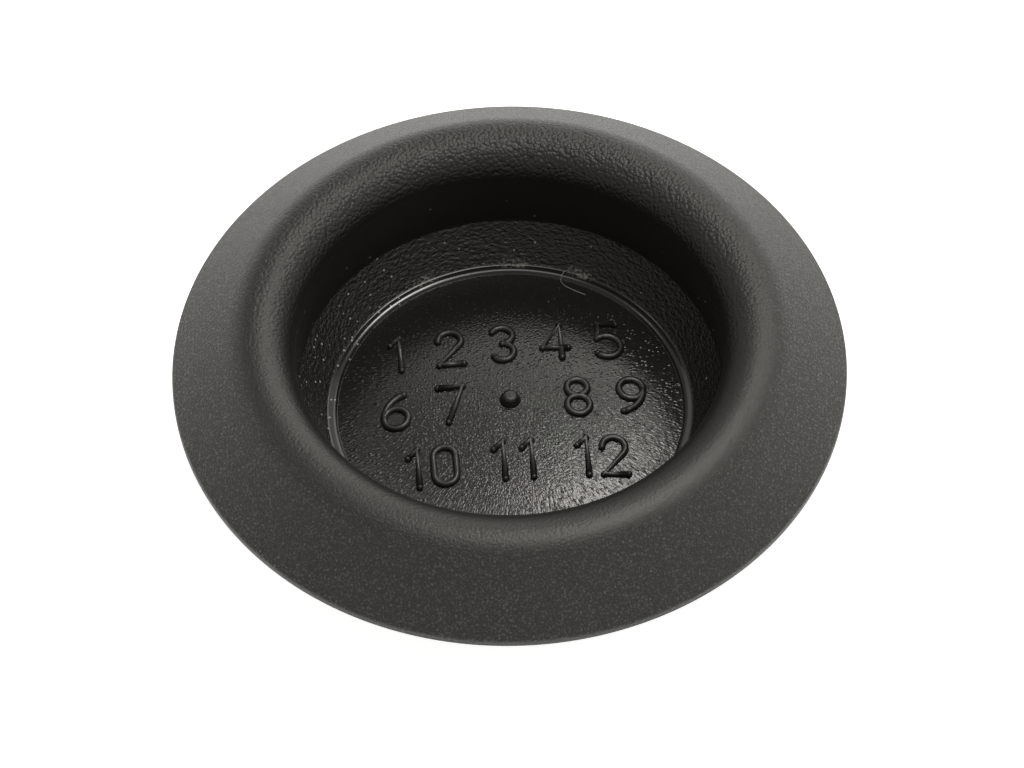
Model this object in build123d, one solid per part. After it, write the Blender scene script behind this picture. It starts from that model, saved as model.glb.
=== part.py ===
from build123d import *
from math import cos, radians, sin, tan
import os

# Firewall plug: one moulded piece that snaps into a round hole in a thin sheet.
# A closed, tapered nose, a snap bead, a neck, a rolled crest and a wide umbrella skirt.
# Millimetres. The axis is +Z, the closed end stands on Z = 0, and the recess opens upwards.

# The hole that it closes
hole_diameter = 20.6

# Neck and snap bead, outside
neck_clearance = 0.1  # between the neck and the hole's edge, on the radius
neck_length = 1.4  # from the bead's shoulder to where the crest starts to roll
bead_lap = 0.4  # how far the bead stands past the hole's edge
bead_flat = 0.3  # straight stretch from the bead's round to its shoulder
bead_round = 0.45
shoulder_angle = 45.0  # the bead's upper side, from level

# Walls
neck_wall = 1.15  # neck and crest
nose_wall = 1.15  # square to the tapered side
floor_wall = 0.95  # at the rim of the floor
skirt_wall = 1.1  # at the skirt's root, square to its upper side
edge_thickness = 0.35  # at the skirt's edge, the same way

# Crest and umbrella skirt
crest_inner = 0.35  # radius that the crest's roll keeps inside its wall
skirt_overhang = 4.0  # how far the skirt reaches past the hole's edge
skirt_angle = 40.0  # the skirt's upper side, from level
edge_round = 0.15

# Recess: sloping band, ledge, sunk floor with a crown
band_angle = 51.0  # from level; the nose tapers at the same angle outside
band_run = 1.24  # how far the band comes in from the neck's bore
band_foot_round = 0.3
ledge_width = 0.33
step_depth = 0.13  # how far the floor's rim lies below the ledge
step_angle = 45.0
crown_rise = 0.7  # the floor's middle above its rim

# Gate nub in the middle of the floor
gate_radius = 0.45
gate_height = 0.36

# Closed end
nose_round = 0.9

# Radii, from the hole inwards and outwards
hole_radius = hole_diameter / 2
neck_radius = hole_radius - neck_clearance
bead_radius = hole_radius + bead_lap
skirt_radius = hole_radius + skirt_overhang
neck_bore = neck_radius - neck_wall
ledge_outer = neck_bore - band_run
ledge_inner = ledge_outer - ledge_width
crest_round = neck_wall + crest_inner
crest_radius = neck_bore + crest_round

# Slopes, as rise over run
band_slope = tan(radians(band_angle))
shoulder_slope = tan(radians(shoulder_angle))
skirt_slope = tan(radians(skirt_angle))

# Heights in the recess
ledge_height = floor_wall + step_depth
band_top = ledge_height + band_run * band_slope
floor_radius = ledge_inner - step_depth / tan(radians(step_angle))

# The nose runs along the band, one wall outside it, up to the bead
nose_radius = ledge_outer + nose_wall / sin(radians(band_angle)) - ledge_height / band_slope
bead_height = (bead_radius - nose_radius) * band_slope
bead_land = bead_flat + bead_round * tan(radians(90 - band_angle) / 2)
shoulder_height = bead_height + bead_land
neck_start = shoulder_height + (bead_radius - neck_radius) * shoulder_slope
crest_height = neck_start + neck_length  # the middle of the crest's roll

# The skirt's upper side touches the roll; drawn on inwards, it meets the bore at the peak
peak = crest_height + crest_round * (skirt_slope + 1 / cos(radians(skirt_angle)))
edge_top = peak - (skirt_radius - neck_bore) * skirt_slope
edge_bottom = edge_top - edge_thickness / cos(radians(skirt_angle))

# The skirt's root, inside the roll, one skirt wall in from its upper side
root_reach = crest_round - skirt_wall
skirt_root = (
    crest_radius + root_reach * sin(radians(skirt_angle)),
    crest_height + root_reach * cos(radians(skirt_angle)),
)

# The section's corners, up the outside and down the recess, with the round of each
corners = (
    ((nose_radius, 0), nose_round),
    ((bead_radius, bead_height), bead_round),
    ((bead_radius, shoulder_height), 0),
    ((neck_radius, neck_start), 0),
    ((neck_radius, crest_height), 0),
    (skirt_root, 0),
    ((skirt_radius, edge_bottom), 0),
    ((skirt_radius, edge_top), edge_round),
    ((neck_bore, peak), crest_round),
    ((neck_bore, band_top), 0),
    ((ledge_outer, ledge_height), band_foot_round),
    ((ledge_inner, ledge_height), 0),
)


def crown_height(reach, rim_radius, rise):
    """How far a dome stands over its rim, at a distance from the axis."""
    dome = (rim_radius**2 + rise**2) / (2 * rise)
    return (dome**2 - reach**2) ** 0.5 - (dome - rise)


def crown(rim_radius, rim_height, rise, inner=0):
    """The dome's line in the section, from its rim in towards the axis."""
    reaches = (rim_radius, (rim_radius + inner) / 2, inner)
    return ThreePointArc(*((r, rim_height + crown_height(r, rim_radius, rise)) for r in reaches))


gate_foot = floor_wall + crown_height(gate_radius, floor_radius, crown_rise)

with BuildPart() as plug:
    with BuildSketch(Plane.XZ):
        with BuildLine():
            FilletPolyline(
                (0, 0),
                *(point for point, _ in corners),
                (floor_radius, floor_wall),
                radius=[corner_round for _, corner_round in corners],
            )
            crown(floor_radius, floor_wall, crown_rise, inner=gate_radius)
            gate_nub = crown(gate_radius, gate_foot, gate_height)
            Line(gate_nub @ 1, (0, 0))
        make_face()
    revolve(axis=Axis.Z)

os.makedirs("parts", exist_ok=True)
export_step(plug.part, "parts/plug_body.step")

print("overall height", round(crest_height + crest_round, 3))
print("skirt's edge from", round(edge_bottom, 3), "to", round(edge_top, 3))
print("neck from", round(neck_start, 3), "to", round(crest_height, 3))
print("volume, mm3", round(plug.part.volume, 1))
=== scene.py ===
import bpy
from math import asin, atan2, ceil, cos, hypot, pi, radians, sin, sqrt, tan
from mathutils import Matrix, Quaternion, Vector


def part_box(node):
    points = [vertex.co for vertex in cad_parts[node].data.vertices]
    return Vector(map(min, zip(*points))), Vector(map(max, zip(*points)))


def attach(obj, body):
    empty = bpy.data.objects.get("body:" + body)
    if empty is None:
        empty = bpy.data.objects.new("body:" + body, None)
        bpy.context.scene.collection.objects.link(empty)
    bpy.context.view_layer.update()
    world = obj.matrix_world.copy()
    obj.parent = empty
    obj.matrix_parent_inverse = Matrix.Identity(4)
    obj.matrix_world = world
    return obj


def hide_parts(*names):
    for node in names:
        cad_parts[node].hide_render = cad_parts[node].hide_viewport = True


# Firewall plug: one black moulded piece, seen from above with its recess up.
# Lengths are metres, written in millimetres times mm. The closed end stands on Z = 0.

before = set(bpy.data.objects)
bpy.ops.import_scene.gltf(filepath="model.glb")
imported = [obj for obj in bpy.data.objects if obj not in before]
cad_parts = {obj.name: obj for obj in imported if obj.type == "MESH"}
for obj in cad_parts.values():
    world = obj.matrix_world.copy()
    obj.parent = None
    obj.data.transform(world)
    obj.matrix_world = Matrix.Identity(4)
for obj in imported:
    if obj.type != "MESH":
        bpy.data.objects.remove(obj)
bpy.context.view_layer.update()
_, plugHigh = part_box("plug_body")
mm = 0.001

# Camera

cameraPlace = {
    "distance": 300 * mm,
    "elevation": 52.62,
    "roll": -1.09,
    "lens": 248.77,  # this and the sensor in Blender's own millimetres
    "sensorWidth": 36,
    "clipStart": 10 * mm,
    "clipEnd": 10,
    "aimHeight": 3.77 * mm,  # the middle of the skirt's edge
    "aimRight": 0.106 * mm,
    "aimDown": 0.611 * mm,
}


def addCamera(place):
    tilt = radians(place["elevation"])
    back = Vector((0, -cos(tilt), sin(tilt)))
    turn = (-back).to_track_quat("-Z", "Y") @ Quaternion((0, 0, 1), radians(place["roll"]))
    aim = Vector((0, 0, place["aimHeight"])) + turn @ Vector((place["aimRight"], -place["aimDown"], 0))
    bpy.ops.object.camera_add(location=aim + back * place["distance"], rotation=turn.to_euler())
    camera = bpy.context.object
    camera.name = "photoCamera"
    camera.data.lens = place["lens"]
    camera.data.sensor_width = place["sensorWidth"]
    camera.data.clip_start = place["clipStart"]
    camera.data.clip_end = place["clipEnd"]
    bpy.context.scene.camera = camera


addCamera(cameraPlace)
print("camera placed")

# Shader graphs


class Wire:
    # an output in a shader graph; a sum written with it adds its Math nodes
    def __init__(self, graph, port):
        self.graph = graph
        self.port = port

    def maths(self, operation, *values):
        return self.graph.node("ShaderNodeMath", {"operation": operation}, dict(enumerate((self, *values))))

    def __add__(self, other):
        return self.maths("ADD", other)

    def __radd__(self, other):
        return self.maths("ADD", other)

    def __sub__(self, other):
        return self.maths("SUBTRACT", other)

    def __rsub__(self, other):
        return self.maths("MULTIPLY_ADD", -1, other)

    def __mul__(self, other):
        return self.maths("MULTIPLY", other)

    def __rmul__(self, other):
        return self.maths("MULTIPLY", other)

    def __truediv__(self, other):
        return self.maths("DIVIDE", other)

    def __pow__(self, other):
        return self.maths("POWER", other)

    def clamped(self):
        return self.graph.node("ShaderNodeClamp", {}, {0: self})

    def between(self, low, high):
        # 0 at low and 1 at high, eased at both ends
        settings = {"interpolation_type": "SMOOTHSTEP"}
        return self.graph.node("ShaderNodeMapRange", settings, {0: self, 1: low, 2: high, 3: 0, 4: 1})

    def graded(self, low, high):
        # low where this is 0 and high where it is 1
        return low + self * (high - low)


class Graph:
    def __init__(self, name):
        self.material = bpy.data.materials.new(name)
        self.material.use_nodes = True
        self.tree = self.material.node_tree
        self.tree.nodes.clear()

    def node(self, kind, settings, sockets, output=0):
        made = self.tree.nodes.new(kind)
        for key, value in settings.items():
            setattr(made, key, value)
        for key, value in sockets.items():
            if isinstance(value, Wire):
                self.tree.links.new(value.port, made.inputs[key])
            else:
                made.inputs[key].default_value = value
        return Wire(self, made.outputs[output]) if made.outputs else made

    def place(self):
        return self.node("ShaderNodeTexCoord", {}, {}, "Object")

    def split(self, vector, axis):
        return self.node("ShaderNodeSeparateXYZ", {}, {0: vector}, axis)

    def joined(self, x, y, z):
        return self.node("ShaderNodeCombineXYZ", {}, {0: x, 1: y, 2: z})

    def scaled(self, vector, factors):
        return self.node("ShaderNodeVectorMath", {"operation": "MULTIPLY"}, {0: vector, 1: factors})

    def reach(self, place):
        # distance from the plug's axis
        flat = self.scaled(place, (1, 1, 0))
        return self.node("ShaderNodeVectorMath", {"operation": "LENGTH"}, {0: flat}, "Value")

    def near(self, place, spots, width, core=0.3):
        # 1 within the core of a spot, 0 further off than its width
        total = 0
        for spot in spots:
            sockets = {0: place, 1: spot}
            away = self.node("ShaderNodeVectorMath", {"operation": "DISTANCE"}, sockets, "Value")
            total = total + (1 - away.between(width * core, width))
        return total

    def noise(self, vector, size, detail=2, roughness=0.5, distortion=0):
        # size is that of one bump
        sockets = {"Vector": vector, "Scale": 1 / size, "Detail": detail}
        sockets |= {"Roughness": roughness, "Distortion": distortion}
        return self.node("ShaderNodeTexNoise", {}, sockets, "Fac")

    def cells(self, place, size, output="Distance"):
        sockets = {"Vector": place, "Scale": 1 / size}
        return self.node("ShaderNodeTexVoronoi", {"feature": "F1"}, sockets, output)

    def chance(self, place, size):
        # a random number for each cell
        return self.split(self.cells(place, size, "Color"), 0)

    def pebbles(self, place, size):
        # rounded bumps of uneven size with narrow valleys between them
        distance = self.cells(place, size)
        return 1 - distance * distance

    def domes(self, place, size, spread=0.3):
        # separate round bumps of uneven height, with plain ground between them
        distance = self.cells(place, size)
        return (1 - distance * distance / spread).clamped() ** 2 * self.chance(place, size)

    def dust(self, place, spacing, size, share, core=0.6):
        # specks scattered one to a cell, in this share of the cells
        radius = size / 2 / spacing
        outside = self.cells(place, spacing).between(radius * core, radius)
        return (1 - outside) * self.chance(place, spacing).maths("LESS_THAN", share)

    def mixed(self, factor, first, second):
        # 6, 7 and output 2 are the Mix node's colours
        sockets = {0: factor, 6: first, 7: second}
        return self.node("ShaderNodeMix", {"data_type": "RGBA"}, sockets, 2)

    def bump(self, height, depth):
        return self.node("ShaderNodeBump", {}, {"Strength": 1, "Distance": depth, "Height": height})

    def finish(self, sockets):
        shader = self.node("ShaderNodeBsdfPrincipled", {}, sockets)
        self.node("ShaderNodeOutputMaterial", {}, {"Surface": shader})
        return self.material


# Drawing

leastStep = 1e-6 * mm
weldDistance = 1e-4 * mm
dropHeight = 10 * mm
rodFacets = 3


def deselectAll():
    bpy.ops.object.select_all(action="DESELECT")


def makeActive(piece):
    deselectAll()
    piece.select_set(True)
    bpy.context.view_layer.objects.active = piece


def turned(spoke, angle):
    return Matrix.Rotation(angle, 2) @ spoke


class Pen:
    # draws lines of points with the edit-mode tools, upright in XZ or flat in XY
    def __init__(self, name, arcStep, flat=False):
        deselectAll()
        bpy.ops.mesh.primitive_plane_add(size=1 * mm)
        self.piece = bpy.context.object
        self.piece.name = self.piece.data.name = name
        bpy.ops.object.mode_set(mode="EDIT")
        bpy.ops.mesh.select_all(action="SELECT")
        bpy.ops.mesh.merge(type="CENTER")
        self.at = Vector((0, 0))
        self.arcStep = arcStep
        self.flat = flat

    def inSpace(self, page):
        return (page.x, page.y, 0) if self.flat else (page.x, 0, page.y)

    def line(self, target):
        step = target - self.at
        if step.length > leastStep:
            bpy.ops.mesh.extrude_region_move(TRANSFORM_OT_translate={"value": self.inSpace(step)})
            self.at = target.copy()

    def lift(self, target):
        # starts a new line elsewhere
        bpy.ops.mesh.duplicate_move(TRANSFORM_OT_translate={"value": self.inSpace(target - self.at)})
        self.at = target.copy()

    def arc(self, centre, angle):
        steps = max(2, ceil(abs(angle) / self.arcStep))
        axis = (0, 0, -1) if self.flat else (0, 1, 0)
        bpy.ops.mesh.spin(steps=steps, angle=angle, center=self.inSpace(centre), axis=axis)
        self.at = centre + turned(self.at - centre, angle)

    def corners(self, corners):
        # lines from corner to corner, each rounded by its own radius
        points = [Vector(corner[:2]) for corner in corners]
        for i in range(1, len(points) - 1):
            self.corner(points[i - 1], points[i], points[i + 1], corners[i][2])

    def corner(self, before, point, after, bend):
        if bend == 0:
            self.line(point)
            return
        into = (point - before).normalized()
        out = (after - point).normalized()
        turn = atan2(into.x * out.y - into.y * out.x, into.dot(out))
        self.line(point - into * bend * tan(abs(turn) / 2))
        side = 1 if turn > 0 else -1
        self.arc(self.at + Vector((-into.y, into.x)) * side * bend, turn)

    def spun(self, turns):
        bpy.ops.mesh.select_all(action="SELECT")
        bpy.ops.mesh.spin(steps=turns, angle=2 * pi, center=(0, 0, 0), axis=(0, 0, 1))
        bpy.ops.mesh.select_all(action="SELECT")
        bpy.ops.mesh.remove_doubles(threshold=weldDistance)
        bpy.ops.mesh.normals_make_consistent(inside=False)
        bpy.ops.object.mode_set(mode="OBJECT")
        return self.piece


def moveUp(rise):
    # lifts all of the active piece
    bpy.ops.object.mode_set(mode="EDIT")
    bpy.ops.mesh.select_all(action="SELECT")
    bpy.ops.transform.translate(value=(0, 0, rise))
    bpy.ops.object.mode_set(mode="OBJECT")


def laidDown(piece, ground, lift):
    # lowers a drawn line onto the ground from well above it
    makeActive(piece)
    moveUp(dropHeight)
    wrap = piece.modifiers.new("wrap", "SHRINKWRAP")
    wrap.target = ground
    wrap.wrap_method = "PROJECT"
    wrap.use_project_z = True
    wrap.use_positive_direction = False
    wrap.use_negative_direction = True
    bpy.ops.object.modifier_apply(modifier="wrap")
    moveUp(lift)


def thickened(piece, radius):
    # turns drawn lines into round, closed rods
    makeActive(piece)
    bpy.ops.object.convert(target="CURVE")
    curve = bpy.context.object.data
    curve.dimensions = "3D"
    curve.bevel_depth = radius
    curve.bevel_resolution = rodFacets
    curve.use_fill_caps = True
    bpy.ops.object.convert(target="MESH")
    bpy.ops.object.mode_set(mode="EDIT")
    bpy.ops.mesh.select_all(action="SELECT")
    bpy.ops.mesh.remove_doubles(threshold=weldDistance)
    bpy.ops.mesh.normals_make_consistent(inside=False)
    bpy.ops.object.mode_set(mode="OBJECT")
    bpy.ops.object.shade_smooth()
    return bpy.context.object


# The moulding, drawn as a section and spun round its axis

plug = {
    "skirtRadius": plugHigh.x,
    "crestTop": plugHigh.z,
    "neckRadius": 10.2 * mm,
    "bore": 9.05 * mm,
    "crestRound": 1.5 * mm,
    "crestInnerRound": 1.4985 * mm,  # just under, so that it ends short of the outer round
    "crestOuterRound": 1.94 * mm,
    "skirtAngle": radians(41.6),
    "skirtWall": 1.1 * mm,
    "edgeThickness": 0.35 * mm,
    "edgeRound": 0.2 * mm,
    "edgeFootRound": 0.12 * mm,
    "rootRound": 0.4 * mm,
    "beadRadius": 10.7 * mm,
    "beadRound": 0.45 * mm,
    "beadFlat": 0.3 * mm,
    "shoulderAngle": radians(45),
    "shoulderRound": 0.12 * mm,
    "bandAngle": radians(51),
    "bandRun": 1.24 * mm,
    "bandTopRound": 0.2 * mm,
    "bandFootRound": 0.18 * mm,
    "ledgeWidth": 0.225 * mm,
    "ledgeRound": 0.3 * mm,
    "lipWidth": 0.11 * mm,  # the ledge's sloping inner margin
    "lipAngle": radians(12),
    "lipRound": 0.1 * mm,
    "stepDepth": 0.13 * mm,
    "stepAngle": radians(50),
    "stepFootRound": 0.03 * mm,
    "floorHeight": 0.95 * mm,
    "crownRise": 0.7 * mm,
    "crownSteps": 24,
    "gateRadius": 0.46 * mm,
    "gateTop": 0.3 * mm,
    "gateHeight": 0.38 * mm,
    "gateRound": 0.22 * mm,
    "noseWall": 1.15 * mm,
    "noseRound": 0.9 * mm,
    "turns": 320,
    "arcStep": radians(6),
    "sharpAngle": radians(32),
}


def recessSizes(p):
    # what follows from the sizes above
    ledgeOuter = p["bore"] - p["bandRun"]
    ledgeInner = ledgeOuter - p["ledgeWidth"]
    ledgeHeight = p["floorHeight"] + p["stepDepth"]
    lipInner = ledgeInner - p["lipWidth"]
    lipDrop = p["lipWidth"] * tan(p["lipAngle"])
    floorRadius = lipInner - (p["stepDepth"] - lipDrop) / tan(p["stepAngle"])
    return {
        "ledgeOuter": ledgeOuter,
        "ledgeInner": ledgeInner,
        "ledgeHeight": ledgeHeight,
        "lipInner": lipInner,
        "lipHeight": ledgeHeight - lipDrop,
        "bandTop": ledgeHeight + p["bandRun"] * tan(p["bandAngle"]),
        "crestHeight": p["crestTop"] - p["crestRound"],
        "crestMiddle": p["bore"] + p["crestRound"],
        "floorRadius": floorRadius,
        "crownRadius": (floorRadius**2 + p["crownRise"] ** 2) / (2 * p["crownRise"]),
    }


plug |= recessSizes(plug)


def sectionCorners(p):
    # radius, height and round of each corner, up the outside and down the recess
    bandSlope = tan(p["bandAngle"])
    noseRadius = p["ledgeOuter"] + p["noseWall"] / sin(p["bandAngle"]) - p["ledgeHeight"] / bandSlope
    beadHeight = (p["beadRadius"] - noseRadius) * bandSlope
    shoulder = beadHeight + p["beadFlat"] + p["beadRound"] * tan((pi / 2 - p["bandAngle"]) / 2)
    neckStart = shoulder + (p["beadRadius"] - p["neckRadius"]) * tan(p["shoulderAngle"])
    crestOuter = p["crestMiddle"] + p["crestOuterRound"] * tan(p["skirtAngle"] / 2)
    edgeTop = p["crestTop"] - (p["skirtRadius"] - crestOuter) * tan(p["skirtAngle"])
    edgeBottom = edgeTop - p["edgeThickness"] / cos(p["skirtAngle"])
    root = p["crestRound"] - p["skirtWall"]
    rootRadius = p["crestMiddle"] + root * sin(p["skirtAngle"])
    rootHeight = p["crestHeight"] + root * cos(p["skirtAngle"])
    underSlope = (rootHeight - edgeBottom) / (p["skirtRadius"] - rootRadius)
    neckEnd = rootHeight + (rootRadius - p["neckRadius"]) * underSlope
    return (
        (0, 0, 0),
        (noseRadius, 0, p["noseRound"]),
        (p["beadRadius"], beadHeight, p["beadRound"]),
        (p["beadRadius"], shoulder, p["shoulderRound"]),
        (p["neckRadius"], neckStart, p["shoulderRound"]),
        (p["neckRadius"], neckEnd, p["rootRound"]),
        (p["skirtRadius"], edgeBottom, p["edgeFootRound"]),
        (p["skirtRadius"], edgeTop, p["edgeRound"]),
        (crestOuter, p["crestTop"], p["crestOuterRound"]),
        (p["bore"], p["crestTop"], p["crestInnerRound"]),
        (p["bore"], p["bandTop"], p["bandTopRound"]),
        (p["ledgeOuter"], p["ledgeHeight"], p["bandFootRound"]),
        (p["ledgeInner"], p["ledgeHeight"], p["ledgeRound"]),
        (p["lipInner"], p["lipHeight"], p["lipRound"]),
        (p["floorRadius"], p["floorHeight"], p["stepFootRound"]),
    )


def crownHeight(p, reach):
    # of the floor, this far from the axis
    middle = p["floorHeight"] + p["crownRise"] - p["crownRadius"]
    return middle + sqrt(p["crownRadius"] ** 2 - reach**2)


def drawCrown(pen, p, inner):
    middle = Vector((0, p["floorHeight"] + p["crownRise"] - p["crownRadius"]))
    fromAngle = asin(pen.at.x / p["crownRadius"])
    toAngle = asin(inner / p["crownRadius"])
    for i in range(1, p["crownSteps"] + 1):
        angle = fromAngle + (toAngle - fromAngle) * i / p["crownSteps"]
        pen.line(middle + Vector((sin(angle), cos(angle))) * p["crownRadius"])


def makePlug(p):
    pen = Pen("plug", p["arcStep"])
    # the last corner turns onto the crown's slope at its rim
    rimAngle = asin(p["floorRadius"] / p["crownRadius"])
    onCrown = Vector((p["floorRadius"], p["floorHeight"])) + Vector((-cos(rimAngle), sin(rimAngle))) * mm
    pen.corners((*sectionCorners(p), (*onCrown, 0)))
    drawCrown(pen, p, p["gateRadius"])
    gateFoot = crownHeight(p, p["gateRadius"])
    gateTop = gateFoot + p["gateHeight"]
    pen.corners((
        (p["gateRadius"], gateFoot, 0),
        (p["gateTop"], gateTop, p["gateRound"]),
        (0, gateTop, 0),
    ))
    pen.line(Vector((0, gateTop)))
    return pen.spun(p["turns"])


# Finishes of the moulding, by zone

blackPlastic = {
    "colour": (0.0105, 0.0100, 0.0088, 1),
    # lighter colour of the skirt's small specks: painted glints, not real wear
    "paintedGlint": (0.092, 0.089, 0.08, 1),
    "ior": 1.5,
    "patchiness": 0.1,  # how far the roughness varies
}


def plastic(graph, colour, roughness, relief, depth):
    return graph.finish({
        "Base Color": colour,
        "Roughness": roughness,
        "IOR": blackPlastic["ior"],
        "Normal": graph.bump(relief, depth),
    })


dirt = {
    "dust": (0.32, 0.315, 0.3, 1),
    "dustSpacing": 0.3 * mm,
    "dustSize": 0.12 * mm,
    "dustShare": 0.04,
    # dustier on the left of the band
    "dustySpots": (
        (-7.2 * mm, 3.2 * mm, 2 * mm),
        (-6.0 * mm, 5.4 * mm, 2 * mm),
        (-8.0 * mm, 0.6 * mm, 2 * mm),
    ),
    "dustySpread": 2.6 * mm,
    "dustyShare": 0.55,
    "crumbs": (0.135, 0.132, 0.114, 1),
    "crumbSize": 0.13 * mm,
    "crumbShades": (0.45, 0.6),
    # in the corner between the band and the ledge
    "crumbsBegin": (7.6 * mm, 7.7 * mm),
    "crumbsEnd": (7.9 * mm, 8.05 * mm),
    "crumbSpots": (
        (-3.66 * mm, 6.94 * mm, 1.2 * mm),
        (0.25 * mm, 7.85 * mm, 1.2 * mm),
        (3.2 * mm, 7.3 * mm, 1.2 * mm),
    ),
    "crumbSpread": 0.85 * mm,
}


def dusty(graph, place):
    # the plastic's colour with dust on it
    spots = graph.near(place, dirt["dustySpots"], dirt["dustySpread"])
    share = spots * dirt["dustyShare"] + dirt["dustShare"]
    dust = graph.dust(place, dirt["dustSpacing"], dirt["dustSize"], share)
    return graph.mixed(dust, blackPlastic["colour"], dirt["dust"])


def soiled(graph, place):
    # dust, and in some places crumbs of dirt
    lumps = graph.noise(place, dirt["crumbSize"], roughness=0.6).between(*dirt["crumbShades"])
    reach = graph.reach(place)
    inCorner = reach.between(*dirt["crumbsBegin"]) * (1 - reach.between(*dirt["crumbsEnd"]))
    soil = lumps * inCorner * graph.near(place, dirt["crumbSpots"], dirt["crumbSpread"])
    return graph.mixed(soil, dusty(graph, place), dirt["crumbs"])


skirtFinish = {
    "grainSize": 0.1 * mm,
    "grainDepth": 0.12 * mm,
    "grainOnCrest": 0.2,
    "grainAtFront": 0.55,
    "grainFade": (-11 * mm, -1 * mm),
    "speckSize": 0.085 * mm,
    "speckShades": (0.5, 0.7),
    "speckStrength": 0.8,
    "brightSpacing": 0.16 * mm,
    "brightSize": 0.11 * mm,
    "brightShare": 0.45,
    "pebbleSize": 0.15 * mm,
    "pebbleDepth": 0.042 * mm,
    "pebblesAtFront": 0.2,
    "pebbleFade": (-5 * mm, 9 * mm),
    "crestRoughness": 0.36,
    "skirtRoughness": 0.42,
    "skirtBegin": (plug["crestMiddle"] + 0.4 * mm, plug["crestMiddle"] + 1.3 * mm),
    "boreReach": (9.9 * mm, 10.5 * mm),
    "boreHeight": (5 * mm, 6 * mm),
}


def paintSkirt(finish):
    graph = Graph("skirt_and_crest")
    place = graph.place()
    back = graph.split(place, 1)
    height = graph.split(place, 2)
    reach = graph.reach(place)
    onSkirt = reach.between(*finish["skirtBegin"])
    inBore = (1 - reach.between(*finish["boreReach"])) * (1 - height.between(*finish["boreHeight"]))

    # coarse pebbles on the crest, fine grain on the skirt, both softer at the front
    pebbleShare = back.between(*finish["pebbleFade"]).graded(finish["pebblesAtFront"], 1)
    pebbles = graph.pebbles(place, finish["pebbleSize"]) * (1 - onSkirt) * pebbleShare
    grainShare = back.between(*finish["grainFade"]).graded(finish["grainAtFront"], 1)
    grain = graph.noise(place, finish["grainSize"], detail=3, roughness=0.65) * grainShare
    grain = grain * onSkirt.graded(finish["grainOnCrest"], 1)
    relief = pebbles * (finish["pebbleDepth"] / mm) + grain * (finish["grainDepth"] / mm)

    # light specks on the skirt are painted glints: the base colour is lightened in small spots where the
    # grain would sparkle, and fainter at the front
    specks = graph.noise(place, finish["speckSize"], detail=1).between(*finish["speckShades"])
    bright = graph.dust(place, finish["brightSpacing"], finish["brightSize"], finish["brightShare"])
    paintedGlints = (specks * finish["speckStrength"] + bright) * grainShare * onSkirt
    colour = graph.mixed(paintedGlints, blackPlastic["colour"], blackPlastic["paintedGlint"])
    roughness = onSkirt.graded(finish["crestRoughness"], finish["skirtRoughness"])
    return plastic(graph, colour, roughness, relief * (1 - inBore), mm)


boreFinish = {"grainSize": 0.35 * mm, "grainDepth": 0.003 * mm, "heightScale": 0.4, "roughness": 0.4}


def paintBore(finish):
    graph = Graph("neck_bore")
    place = graph.place()
    drawnOut = graph.scaled(place, (1, 1, finish["heightScale"]))
    grain = graph.noise(drawnOut, finish["grainSize"], detail=3)
    roughness = finish["roughness"] + grain * blackPlastic["patchiness"]
    return plastic(graph, dusty(graph, place), roughness, grain, finish["grainDepth"])


bandFinish = {
    "grainSize": 0.22 * mm,
    "grainDepth": 0.085 * mm,
    "heightScale": 2,
    "distortion": 0.3,
    "roughness": 0.27,
}


def paintBand(finish):
    graph = Graph("recess_band")
    place = graph.place()
    squeezed = graph.scaled(place, (1, 1, finish["heightScale"]))
    grain = graph.noise(squeezed, finish["grainSize"], distortion=finish["distortion"])
    return plastic(graph, soiled(graph, place), finish["roughness"], grain, finish["grainDepth"])


ledgeFinish = {"grainSize": 0.5 * mm, "grainDepth": 0.002 * mm, "roughness": 0.1}


def paintLedge(finish):
    graph = Graph("recess_ledge")
    place = graph.place()
    grain = graph.noise(place, finish["grainSize"], detail=3)
    roughness = finish["roughness"] + grain * blackPlastic["patchiness"]
    return plastic(graph, soiled(graph, place), roughness, grain, finish["grainDepth"])


floorFinish = {
    "grainSize": 0.12 * mm,
    "grainDepth": 0.016 * mm,
    "domeSize": 0.12 * mm,
    "domeDepth": 0.022 * mm,
    "stretch": 0.5,
    "stretchFade": (3.5 * mm, 6 * mm),
    "fanReach": 7 * mm,  # where the stretched grain is as wide as the rest
    "roughness": 0.18,
    "nubRoughness": 0.42,
    "nubEdge": (0.4 * mm, 0.5 * mm),
}


def paintFloor(finish):
    graph = Graph("recess_floor")
    place = graph.place()
    reach = graph.reach(place)
    turn = graph.split(place, 0).maths("ARCTAN2", graph.split(place, 1) * -1)
    # towards the rim the grain is drawn out along the radius
    fan = graph.joined(turn * finish["fanReach"], reach * finish["stretch"], 0)
    share = reach.between(*finish["stretchFade"])

    def relief(at):
        domes = graph.domes(at, finish["domeSize"]) * (finish["domeDepth"] / mm)
        return domes + graph.noise(at, finish["grainSize"]) * (finish["grainDepth"] / mm)

    roughness = reach.between(*finish["nubEdge"]).graded(finish["nubRoughness"], finish["roughness"])
    bumps = relief(place) * (1 - share) + relief(fan) * share
    return plastic(graph, blackPlastic["colour"], roughness, bumps, mm)


# The moulding made and painted


zoneEdges = {
    "leastFacing": -0.01,  # faces that look down are outside the recess
    "outsideBore": 0.9 * mm,
    "underFloor": 0.05 * mm,
    "overLedge": 0.02 * mm,
    "outsideFloor": 0.3 * mm,
}


def zoneOf(face, p, edges):
    # the finish that a face takes
    reach = hypot(face.center.x, face.center.y)
    height = face.center.z
    inRecess = (
        face.normal.z > edges["leastFacing"]
        and reach < p["bore"] + edges["outsideBore"]
        and height > p["floorHeight"] - edges["underFloor"]
    )
    if not inRecess or height > p["crestHeight"]:
        return "skirt"
    if height > p["bandTop"]:
        return "bore"
    if height > p["ledgeHeight"] + edges["overLedge"] and reach > p["floorRadius"] + edges["outsideFloor"]:
        return "band"
    return "ledge" if reach > p["floorRadius"] else "floor"


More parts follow.
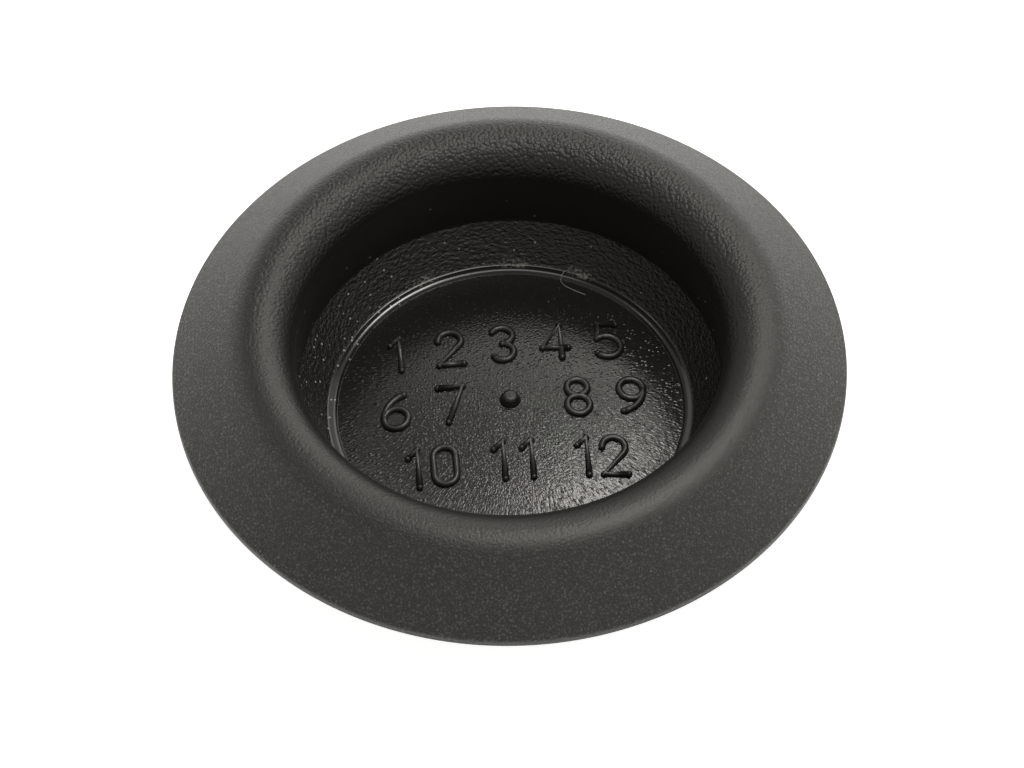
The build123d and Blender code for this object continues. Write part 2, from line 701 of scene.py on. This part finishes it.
plugPiece = makePlug(plug)
zones = {
    "skirt": paintSkirt(skirtFinish),
    "bore": paintBore(boreFinish),
    "band": paintBand(bandFinish),
    "ledge": paintLedge(ledgeFinish),
    "floor": paintFloor(floorFinish),
}
for material in zones.values():
    plugPiece.data.materials.append(material)
zoneNames = list(zones)
for face in plugPiece.data.polygons:
    face.material_index = zoneNames.index(zoneOf(face, plug, zoneEdges))
makeActive(plugPiece)
bpy.ops.object.shade_smooth_by_angle(angle=plug["sharpAngle"])
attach(plugPiece, "root")
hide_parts("plug_body")
print("plug spun,", len(plugPiece.data.polygons), "faces")

# Raised numbers on the crowned floor of the recess

numbers = {
    "height": 1.85 * mm,
    "strokeRadius": 0.16 * mm,
    "lift": 0.02 * mm,  # of the strokes' middle over the floor
    "rowTurn": radians(3.5),
    "arcStep": radians(15),
    "weldDistance": 0.001 * mm,
    "ballSegments": 10,
    "ballRings": 7,
    # each row: how far up, and its digits with their middles
    "rows": (
        (3.1 * mm, (("1", -4.6), ("2", -2.35), ("3", -0.1), ("4", 2.15), ("5", 4.4))),
        (0.0, (("6", -4.9), ("7", -2.5), ("8", 2.9), ("9", 5.2))),
        (-3.1 * mm, (("1", -4.25), ("0", -3.0), ("1", -0.6), ("1", 0.6), ("1", 2.95), ("2", 4.2))),
    ),
}

# strokes on a page one high: a start, then points for lines, and a middle with degrees for arcs
digitStrokes = {
    "0": (((-0.26, 0.26), (-0.26, 0.74), (0, 0.74, -180), (0.26, 0.26), (0, 0.26, -180)),),
    "1": (((-0.16, 0.8), (0.06, 1), (0.06, 0)),),
    "2": (((-0.27, 0.73), (0, 0.73, -215), (-0.28, 0), (0.29, 0)),),
    "3": (((-0.2165, 0.875), (0, 0.75, -240), (0, 0.25, -240)),),
    "4": (((0.14, 0), (0.14, 1), (-0.3, 0.3), (0.3, 0.3)),),
    "5": (((0.23, 1), (-0.2, 1), (-0.23, 0.55), (-0.01, 0.32, -270)),),
    "6": (((0.215, 0.937), (0.39, 0.29, 75)), ((-0.28, 0.29), (0, 0.29, 360))),
    "7": (((-0.29, 1), (0.29, 1), (-0.1, 0)),),
    "8": (((0, 0.52), (0, 0.755, 360), (0, 0.26, 360)),),
    "9": (((-0.215, 0.063), (-0.39, 0.71, 75)), ((0.28, 0.71), (0, 0.71, 360))),
}


def onPage(n, middle, up, x, y):
    # from the digit's page to the plug's floor, seen from above
    return turned(Vector((middle * mm + x * n["height"], up + (y - 0.5) * n["height"])), n["rowTurn"])


def drawNumbers(n):
    pen = Pen("raisedNumbers", n["arcStep"], flat=True)
    ends = []
    for up, digits in n["rows"]:
        for digit, middle in digits:
            for stroke in digitStrokes[digit]:
                pen.lift(onPage(n, middle, up, *stroke[0]))
                ends.append(pen.at)
                for step in stroke[1:]:
                    target = onPage(n, middle, up, *step[:2])
                    if len(step) == 3:
                        pen.arc(target, radians(step[2]))
                    else:
                        pen.line(target)
                    ends.append(pen.at)
    bpy.ops.mesh.select_all(action="SELECT")
    bpy.ops.mesh.remove_doubles(threshold=n["weldDistance"])
    bpy.ops.mesh.delete_loose(use_edges=False)
    bpy.ops.object.mode_set(mode="OBJECT")
    return pen.piece, ends


def makeNumbers(n):
    drawn, ends = drawNumbers(n)
    laidDown(drawn, plugPiece, n["lift"])
    piece = thickened(drawn, n["strokeRadius"])
    bpy.ops.object.mode_set(mode="EDIT")
    for end in ends:  # a ball rounds each end and corner
        bpy.ops.mesh.primitive_uv_sphere_add(
            segments=n["ballSegments"],
            ring_count=n["ballRings"],
            radius=n["strokeRadius"],
            location=(end.x, end.y, crownHeight(plug, end.length) + n["lift"]),
        )
    bpy.ops.mesh.select_all(action="SELECT")
    bpy.ops.mesh.normals_make_consistent(inside=False)
    bpy.ops.object.mode_set(mode="OBJECT")
    bpy.ops.object.shade_smooth()
    return piece


numbersFinish = {"grainSize": 0.2 * mm, "grainDepth": 0.015 * mm, "roughness": 0.26}


def paintNumbers(finish):
    graph = Graph("raised_numbers")
    grain = graph.noise(graph.place(), finish["grainSize"])
    roughness = finish["roughness"] + grain * blackPlastic["patchiness"]
    return plastic(graph, blackPlastic["colour"], roughness, grain, finish["grainDepth"])


numbersPiece = makeNumbers(numbers)
numbersPiece.data.materials.append(paintNumbers(numbersFinish))
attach(numbersPiece, "root")
print("numbers raised,", len(numbersPiece.data.polygons), "faces")

# Lint fibre across the ledge

fibre = {
    "thickness": 0.035 * mm,
    "lift": 0.04 * mm,
    "arcStep": radians(12),
    "cuts": 4,
    "colour": (0.2, 0.2, 0.19, 1),
    "roughness": 0.6,
    # places in millimetres, and the bend at each
    "path": (
        (2.81, 7.46, 0),
        (2.42, 7.3, 0.25),
        (2.22, 6.9, 0.4),
        (2.5, 6.55, 0.5),
        (2.89, 6.3, 0.6),
        (3.35, 6.05, 0),
    ),
}


def makeFibre(f):
    pen = Pen("lintFibre", f["arcStep"], flat=True)
    path = [(x * mm, y * mm, bend * mm) for x, y, bend in f["path"]]
    pen.lift(Vector(path[0][:2]))
    pen.corners(path)
    pen.line(Vector(path[-1][:2]))
    bpy.ops.mesh.select_all(action="SELECT")
    bpy.ops.mesh.delete_loose(use_edges=False)
    bpy.ops.mesh.select_all(action="SELECT")
    bpy.ops.mesh.subdivide(number_cuts=f["cuts"])
    bpy.ops.object.mode_set(mode="OBJECT")
    laidDown(pen.piece, plugPiece, f["lift"])
    return thickened(pen.piece, f["thickness"] / 2)


def paintFibre(f):
    return Graph("lint_fibre").finish({"Base Color": f["colour"], "Roughness": f["roughness"]})


fibrePiece = makeFibre(fibre)
fibrePiece.data.materials.append(paintFibre(fibre))
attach(fibrePiece, "root")
print("fibre laid,", len(fibrePiece.data.polygons), "faces")

# Floor, light and world

studio = {
    "floorSize": 1.6,
    "floorDrop": 0.02 * mm,
    "floorShade": (0.8, 0.8, 0.8, 1),
    "floorRoughness": 0.9,
    "floorGlow": 1.09,
    "worldLight": 0.41,
    "lightColour": (1, 0.98, 0.92),
}

# azimuth from the back, turning towards the right
lamps = {
    "keyLamp": {"azimuth": 28, "elevation": 66, "distance": 0.4, "size": 0.08, "power": 0.26},
    "topLamp": {"azimuth": 0, "elevation": 83, "distance": 0.45, "size": 0.18, "power": 0.22},
    "highRightLamp": {"azimuth": 80, "elevation": 74, "distance": 0.45, "size": 0.2, "power": 0.36},
    "highLeftLamp": {"azimuth": 318, "elevation": 62, "distance": 0.45, "size": 0.06, "power": 0.035},
    "backRightLamp": {"azimuth": 28, "elevation": 32, "distance": 0.45, "size": 0.3, "power": 0.5},
    "backHighLamp": {"azimuth": 0, "elevation": 42, "distance": 0.45, "size": 0.2, "power": 0.1},
    "sideRightLamp": {"azimuth": 90, "elevation": 22, "distance": 0.45, "size": 0.25, "power": 0.1},
    "frontRightLamp": {"azimuth": 128, "elevation": 52, "distance": 0.4, "size": 0.2, "power": 0.05},
}


def addFloor(setup):
    deselectAll()
    bpy.ops.mesh.primitive_plane_add(size=setup["floorSize"], location=(0, 0, -setup["floorDrop"]))
    floor = bpy.context.object
    floor.name = "tableFloor"
    graph = Graph("table_floor")
    floor.data.materials.append(graph.finish({
        "Base Color": setup["floorShade"],
        "Roughness": setup["floorRoughness"],
        "Emission Color": setup["floorShade"],
        "Emission Strength": setup["floorGlow"],
    }))


def addLamp(name, lamp):
    turn = radians(lamp["azimuth"])
    tilt = radians(lamp["elevation"])
    away = Vector((sin(turn) * cos(tilt), cos(turn) * cos(tilt), sin(tilt)))
    bpy.ops.object.light_add(type="AREA", location=away * lamp["distance"])
    made = bpy.context.object
    made.name = name
    made.data.shape = "DISK"
    made.data.size = lamp["size"]
    made.data.energy = lamp["power"]
    made.data.color = studio["lightColour"]
    made.rotation_euler = (-away).to_track_quat("-Z", "Y").to_euler()


def addWorld(setup):
    world = bpy.data.worlds.new("studioWorld")
    bpy.context.scene.world = world
    world.use_nodes = True
    background = world.node_tree.nodes["Background"]
    background.inputs["Color"].default_value = (*setup["lightColour"], 1)
    background.inputs["Strength"].default_value = setup["worldLight"]


addFloor(studio)
for name, lamp in lamps.items():
    addLamp(name, lamp)
addWorld(studio)
bpy.context.scene.view_settings.view_transform = "Standard"
print("studio lit")
